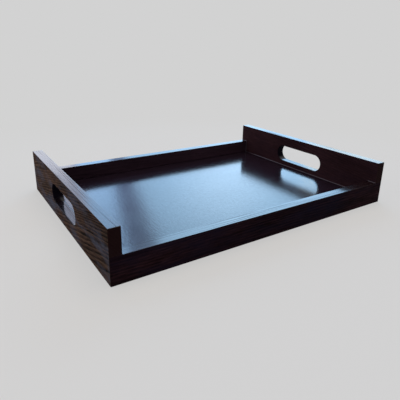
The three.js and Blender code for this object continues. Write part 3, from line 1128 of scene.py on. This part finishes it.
# %% [markdown]
# The tray stands on a plain pale floor. The floor is partly lit by the lamps, so it keeps a soft
# shadow, and partly lit from within, like a light table, so that the shadow stays faint. Away
# from the tray it fades into an even grey that the world repeats behind it, with no horizon.

# %% Floor and world
PALE_GREY = "#d2d2d2"
FLOOR_HALF = 6.0
FLOOR_STEPS = 24
FLOOR_COLOUR = "#fafafa"
LIT_SHARE = 0.22
SHADOW_REACH = (0.3, 0.65)
GLOW_ON_TRAY = 0.3


def floor_mesh():
    """A flat square grid under the tray: z is zero all over."""
    step = np.linspace(-FLOOR_HALF, FLOOR_HALF, FLOOR_STEPS + 1)
    x, y = np.meshgrid(step, step, indexing="ij")
    points = np.stack([x, y, 0 * x], axis=-1).reshape(-1, 3)
    index = np.arange(len(points)).reshape(x.shape)
    corners = [index[:-1, :-1], index[1:, :-1], index[1:, 1:], index[:-1, 1:]]
    mesh = bpy.data.meshes.new("floor")
    mesh.from_pydata(points.tolist(), [], np.stack(corners, axis=-1).reshape(-1, 4).tolist())
    return mesh


def pale_glow(tree):
    """How strongly the background glows: in full where it is seen, directly or in a polish."""
    ray = add(tree, "LightPath")
    seen = add(tree, "Math", {
        0: ray.outputs["Is Camera Ray"], 1: ray.outputs["Is Glossy Ray"],
    }, operation="MAXIMUM")
    shown = add(tree, "Math", {
        0: seen.outputs[0], 1: ray.outputs["Is Transmission Ray"],
    }, operation="MAXIMUM")
    return add(tree, "MapRange", {"Value": shown.outputs[0], "To Min": GLOW_ON_TRAY}).outputs[0]


def pale_floor():
    """Paint near the tray, even glow far from it, mixed by the distance from the middle."""
    material, tree, place = new_material("pale_studio_floor")
    distance = add(tree, "VectorMath", {0: place.outputs["Object"]}, operation="LENGTH")
    away = add(tree, "MapRange", {
        "Value": distance.outputs["Value"], "From": SHADOW_REACH, "To Min": 1 - LIT_SHARE,
    }, interpolation_type="SMOOTHSTEP")
    paint = add(tree, "BsdfDiffuse", {"Color": colour(FLOOR_COLOUR)})
    glow = add(tree, "Emission", {"Color": colour(PALE_GREY), "Strength": pale_glow(tree)})
    mixed = add(tree, "MixShader", {0: away.outputs[0], 1: paint.outputs[0], 2: glow.outputs[0]})
    add(tree, "OutputMaterial", {"Surface": mixed.outputs[0]})
    return material


floor = bpy.data.objects.new("floor", floor_mesh())
floor.data.materials.append(pale_floor())
bpy.context.scene.collection.objects.link(floor)

world = bpy.data.worlds.new("pale_room")
world.use_nodes = True
world.node_tree.nodes.clear()
tree = world.node_tree
sky = add(tree, "Background", {"Color": colour(PALE_GREY), "Strength": pale_glow(tree)})
add(tree, "OutputWorld", {"Surface": sky.outputs[0]})
bpy.context.scene.world = world
print("floor", 2 * FLOOR_HALF, "m square")

# %% [markdown]
# Polished surfaces show what they mirror, so the lamps are placed by mirror: from the camera, off
# the base panel or the top edges, and on to where that ray goes. It goes to a wall of cool
# daylight behind the tray. The wall is two tall softboxes before a dusky cloth, and the narrow
# leaning gap between them is the dark band across the panel. Left of them hangs a paler box, and
# two low ones whiten the light near the horizon. One softbox overhead lights the floor, and one
# at the left brings out the grain of the end board.

# %% A softbox and a place on the wall
def softbox(name, middle, facing, size, lean, tint, radiance, mirrored=True):
    """A rectangular area lamp at a place, facing a direction, leaning in its own plane.

    A flat lamp's power is pi times its radiance times its area. A lamp that isn't mirrored only
    fills in light."""
    data = bpy.data.lights.new(name, "AREA")
    data.shape = "RECTANGLE"
    data.size, data.size_y = size
    data.color = colour(tint)[:3]
    data.energy = radiance * math.pi * size[0] * size[1]
    lamp = bpy.data.objects.new(name, data)
    turn = facing.to_track_quat("-Z", "Y").to_matrix() @ Matrix.Rotation(lean, 3, "Z")
    lamp.matrix_world = Matrix.Translation(middle) @ turn.to_4x4()
    lamp.visible_camera = False
    lamp.visible_glossy = mirrored
    bpy.context.scene.collection.objects.link(lamp)
    return lamp


WALL_HEADING = math.radians(23)
WALL_DISTANCE = 4.0
BOX_HEIGHT = 4.2
wall_ahead = Vector((math.sin(WALL_HEADING), math.cos(WALL_HEADING), 0))
wall_side = Vector((wall_ahead.y, -wall_ahead.x, 0))
up = Vector((0, 0, 1))


def on_wall(aside, height, behind=0.0):
    """A place on the wall, aside from its middle and up from the floor, or a little behind it."""
    return wall_ahead * (WALL_DISTANCE + behind) + wall_side * aside + up * height


def sky_box(name, edge, lean, width, tint, radiance):
    """A tall softbox on the wall: one long edge goes through a point (aside, up), leaning.

    A positive width reaches to the right of that edge, a negative one to the left."""
    lean = math.radians(lean)
    across = wall_side * math.cos(lean) - up * math.sin(lean)
    size = (abs(width), BOX_HEIGHT)
    return softbox(name, on_wall(*edge) + across * width / 2, -wall_ahead, size, lean, tint, radiance)


print("wall", WALL_DISTANCE, "m behind the tray")

# %% [markdown]
# The lamps are a short list. The tall boxes are told by one edge and a lean, since it is their
# edges that show in the polish. The low boxes hang level on the same wall. The two fill lamps face
# the tray and leave no mirror image.

# %% Lamps
EDGE_HEIGHT = 1.635
TALL_BOXES = {
    "sky_left": ((-0.255, EDGE_HEIGHT), 8, -0.37, "#a6d6ff", 3.3),
    "sky_right": ((0.01, EDGE_HEIGHT), 18, 3.8, "#abddff", 2.63),
    "pale_left": ((-0.62, EDGE_HEIGHT), 6, -2.8, "#f6f6ff", 1.25),
}
LOW_BOXES = {
    "low_left": ((-1.1, 1.12), (0.7, 0.55), "#ffffff", 2.3),
    "low_right": ((2.78, 1.2), (1.45, 0.5), "#ffdf6a", 1.8),
}
FILL_LAMPS = {
    "overhead": ((0.5, 0.3, 2.9), (2.5, 2.5), "#ffe9d0", 1.75),
    "left_fill": ((-2.7, 0.5, 1.2), (2.0, 1.6), "#fff4e8", 1.6),
}
for name, (edge, lean, width, tint, radiance) in TALL_BOXES.items():
    sky_box(name, edge, lean, width, tint, radiance)
for name, (place, size, tint, radiance) in LOW_BOXES.items():
    softbox(name, on_wall(*place), -wall_ahead, size, 0.0, tint, radiance)
for name, (place, size, tint, radiance) in FILL_LAMPS.items():
    middle = Vector(place)
    softbox(name, middle, -middle, size, 0.0, tint, radiance, mirrored=False)

# %% [markdown]
# Behind the softboxes hangs a faintly glowing cloth, so that the gap between them is dusky and not
# black. Daylight is never even, so two soft round glows on the cloth add to the light of the right
# softbox.

# %% Dusky cloth behind the lamps
CLOTH_DUSK = "#a4c0ff"
CLOTH_GLOW = 0.8
CLOTH_SUNS = [
    {"place": (1.3, 2.4), "reach": (1.9, 0.2), "tint": "#bce7ff", "glow": 1.6},
    {"place": (1.15, 1.45), "reach": (1.0, 0.1), "tint": "#eef2ff", "glow": 0.7},
]
CLOTH_HALF_WIDTH = 4.5
CLOTH_FROM, CLOTH_TO = 0.75, 4.5
CLOTH_BEHIND = 0.3


def cloth_mesh():
    """An upright rectangle behind the softboxes, facing the tray."""
    rim = [(-1, CLOTH_FROM), (-1, CLOTH_TO), (1, CLOTH_TO), (1, CLOTH_FROM)]
    corners = [on_wall(side * CLOTH_HALF_WIDTH, height, CLOTH_BEHIND) for side, height in rim]
    mesh = bpy.data.meshes.new("cloth")
    mesh.from_pydata([list(corner) for corner in corners], [], [(0, 1, 2, 3)])
    return mesh


def glowing_cloth():
    """An even dusky glow, and soft round ones on top of it that fade with the distance."""
    material, tree, place = new_material("dusky_cloth")
    light = add(tree, "Emission", {"Color": colour(CLOTH_DUSK), "Strength": CLOTH_GLOW})
    for sun in CLOTH_SUNS:
        middle = on_wall(*sun["place"], CLOTH_BEHIND)
        distance = add(tree, "VectorMath", {0: place.outputs["Object"], 1: middle}, operation="DISTANCE")
        nearness = add(tree, "MapRange", {
            "Value": distance.outputs["Value"], "From": sun["reach"], "To Max": sun["glow"],
        }, interpolation_type="SMOOTHSTEP")
        day = add(tree, "Emission", {"Color": colour(sun["tint"]), "Strength": nearness.outputs[0]})
        light = add(tree, "AddShader", {0: light.outputs[0], 1: day.outputs[0]})
    add(tree, "OutputMaterial", {"Surface": light.outputs[0]})
    return material


cloth = bpy.data.objects.new("cloth", cloth_mesh())
cloth.data.materials.append(glowing_cloth())
cloth.visible_camera = False
bpy.context.scene.collection.objects.link(cloth)
print("cloth", 2 * CLOTH_HALF_WIDTH, "m wide")

# %% [markdown]
# The picture's colours go to the screen as they are.

# %% Finish
bpy.context.scene.view_settings.view_transform = "Standard"
